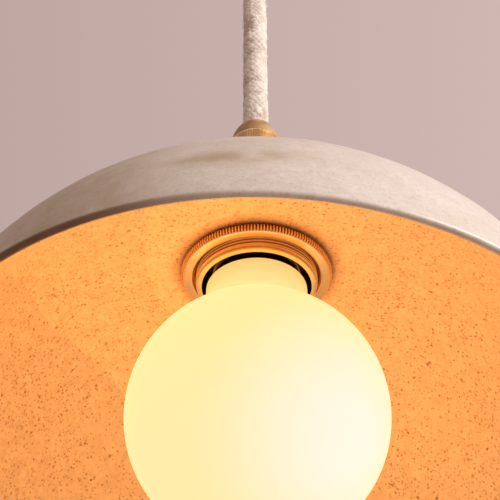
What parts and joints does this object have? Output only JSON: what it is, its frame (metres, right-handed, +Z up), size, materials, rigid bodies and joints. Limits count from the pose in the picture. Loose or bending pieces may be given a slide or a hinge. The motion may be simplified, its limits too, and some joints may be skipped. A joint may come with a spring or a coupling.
{
  "type": "pendant ceiling light",
  "caption": "Shallow glazed stoneware dome pendant on a brass threaded lampholder, hung by a thick linen-covered cord from a brass ceiling cup, with an opal globe bulb.",
  "frame": {"origin": "centre of the ceiling bracket's top face, where it lies against the ceiling", "axes": "+Z up into the ceiling; +X along the bracket's strap, towards the terminal block's side; the light hangs along -Z"},
  "size_m": [0.2056, 0.2056, 0.3211],
  "materials": {
    "brass": "brushed, lightly lacquered",
    "steel": "zinc-plated",
    "stoneware": "gloss cream glaze outside, speckled glaze inside",
    "opal_glass": "matt opal",
    "linen": "loosely spun linen braid",
    "porcelain": "glazed white porcelain",
    "phenolic": "black phenolic moulding",
    "fibre": "matt dark fibre washer",
    "nylon": "natural nylon",
    "rubber": "matt black",
    "flex_sheath": "smooth white sheath",
    "core_live": "brown insulation",
    "core_neutral": "blue insulation",
    "core_earth": "green and yellow insulation",
    "black_glass": "black insulating glass",
    "phosphor": "yellow phosphor coating",
    "circuit_board": "solder-masked board"
  },
  "bodies": {
    "ceiling_rose": {"ceiling_bracket": "steel", "terminal_block": "nylon", "block_terminal_live": "brass", "block_terminal_earth": "brass", "block_terminal_neutral": "brass", "block_fixing_screw": "steel", "rose_wire_live": "core_live", "rose_wire_earth": "core_earth", "rose_wire_neutral": "core_neutral", "rose_flex_end": "flex_sheath", "rose_cup": "brass", "cup_screw_left": "brass", "cup_screw_right": "brass", "rose_grip": "brass", "rose_grip_screw": "steel", "rose_lock_nut": "steel"},
    "flexing_bush": {"cord_bush": "rubber"},
    "hanging_cord": {"cord": "linen"},
    "lampholder": {"lamp_flex_end": "flex_sheath", "grip_body": "brass", "grip_lock_nut": "steel", "holder_cap": "brass", "holder_wire_live": "core_live", "holder_wire_earth": "core_earth", "holder_wire_neutral": "core_neutral", "holder_core": "phenolic", "holder_terminal_live": "brass", "holder_terminal_earth": "brass", "holder_terminal_neutral": "brass", "screw_shell": "brass", "centre_contact": "brass", "holder_skirt": "brass"},
    "ferrule": {"grip_ferrule": "nylon"},
    "bell_nut": {"grip_nut": "brass"},
    "ring_washer": {"upper_washer": "fibre"},
    "upper_ring": {"upper_shade_ring": "brass"},
    "shade": {"dome_shade": "stoneware", "lower_washer": "fibre"},
    "lower_ring": {"lower_shade_ring": "brass"},
    "bulb_travel": {"bulb_contact": "steel"},
    "bulb": {"bulb_glass": "opal_glass", "bulb_cap": "steel", "bulb_insulator": "black_glass", "bulb_stem": "porcelain", "led_filament_1": "phosphor", "led_filament_2": "phosphor", "led_filament_3": "phosphor", "led_filament_4": "phosphor", "bulb_driver_board": "circuit_board"}
  },
  "joints": [
    {"name": "swing_front_back", "type": "hinge", "parent": "ceiling_rose", "child": "flexing_bush", "pos_m": [0, 0, -0.0374], "axis": [1, 0, 0], "range_deg": [-20, 20]},
    {"name": "swing_side", "type": "hinge", "parent": "flexing_bush", "child": "hanging_cord", "pos_m": [0, 0, -0.0374], "axis": [0, 1, 0], "range_deg": [-20, 20]},
    {"name": "cord_twist", "type": "hinge", "parent": "hanging_cord", "child": "lampholder", "pos_m": [0, 0, -0.1601], "axis": [0, 0, 1], "range_deg": [-60, 60]},
    {"name": "grip_nut_travel", "type": "slide", "parent": "lampholder", "child": "ferrule", "axis": [0, 0, 1], "range_m": [0, 0.0075]},
    {"name": "grip_nut_turn", "type": "hinge", "parent": "ferrule", "child": "bell_nut", "pos_m": [0, 0, -0.171], "axis": [0, 0, 1], "range_deg": [0, 2702]},
    {"name": "upper_ring_travel", "type": "slide", "parent": "lampholder", "child": "ring_washer", "axis": [0, 0, 1], "range_m": [0, 0.0075]},
    {"name": "upper_ring_turn", "type": "hinge", "parent": "ring_washer", "child": "upper_ring", "pos_m": [0, 0, -0.215], "axis": [0, 0, 1], "range_deg": [0, 2252]},
    {"name": "shade_drop", "type": "slide", "parent": "lampholder", "child": "shade", "axis": [0, 0, -1], "range_m": [0, 0.0044]},
    {"name": "lower_ring_turn", "type": "hinge", "parent": "shade", "child": "lower_ring", "pos_m": [0, 0, -0.2263], "axis": [0, 0, -1], "range_deg": [0, 1322]},
    {"name": "bulb_withdraw", "type": "slide", "parent": "lampholder", "child": "bulb_travel", "axis": [0, 0, -1], "range_m": [0, 0.024]},
    {"name": "bulb_turn", "type": "hinge", "parent": "bulb_travel", "child": "bulb", "pos_m": [0, 0, -0.231], "axis": [0, 0, -1], "range_deg": [0, 2384]}
  ],
  "couplings": [
    {"joint": "grip_nut_turn", "follows": "grip_nut_travel", "rad_per_m": 6283.2},
    {"joint": "upper_ring_turn", "follows": "upper_ring_travel", "rad_per_m": 5236},
    {"joint": "lower_ring_turn", "follows": "shade_drop", "rad_per_m": 5236},
    {"joint": "bulb_turn", "follows": "bulb_withdraw", "rad_per_m": 1731.6}
  ]
}
